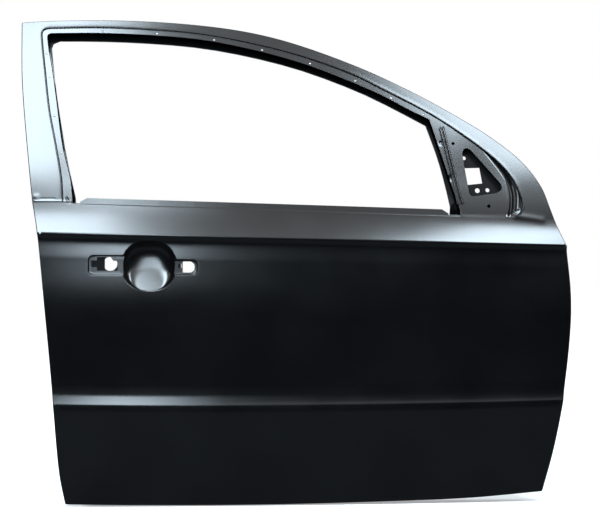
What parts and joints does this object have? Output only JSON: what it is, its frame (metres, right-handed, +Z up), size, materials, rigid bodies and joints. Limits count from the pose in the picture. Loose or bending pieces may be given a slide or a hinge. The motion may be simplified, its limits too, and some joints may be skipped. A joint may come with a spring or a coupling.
{
  "type": "car door shell",
  "caption": "Bare front right car door shell with a one-piece window frame, mirror corner, handle cup, side beam and inner panel.",
  "frame": {"origin": "on the outer face of the hinge wall, midway between the upper hinge's two bolt holes", "axes": "+X forward, out of the hinge wall; +Y into the car, away from the skin; +Z up"},
  "size_m": [1.1817, 0.2214, 1.0461],
  "materials": {
    "black_primer": "smooth semi-gloss black primer",
    "beam_primer": "satin black primer",
    "plated_steel": "dull plated steel",
    "mastic": "matt mastic"
  },
  "bodies": {
    "root": {"outer_panel": "black_primer", "inner_panel": "black_primer", "belt_reinforcement_outer": "black_primer", "belt_reinforcement_inner": "black_primer", "mirror_reinforcement": "black_primer", "front_run_channel": "black_primer", "handle_reinforcement": "black_primer", "upper_hinge_reinforcement": "black_primer", "lower_hinge_reinforcement": "black_primer", "upper_hinge_tapping_plate": "plated_steel", "lower_hinge_tapping_plate": "plated_steel", "check_link_reinforcement": "black_primer", "latch_reinforcement": "black_primer", "impact_beam": "beam_primer", "impact_beam_bracket_rear": "beam_primer", "impact_beam_bracket_front": "beam_primer", "anti_flutter_pad_1": "mastic", "anti_flutter_pad_2": "mastic", "anti_flutter_pad_3": "mastic", "rear_glass_guide": "black_primer", "rear_guide_bracket": "black_primer", "front_glass_guide": "black_primer", "front_guide_bracket": "black_primer"}
  },
  "joints": []
}
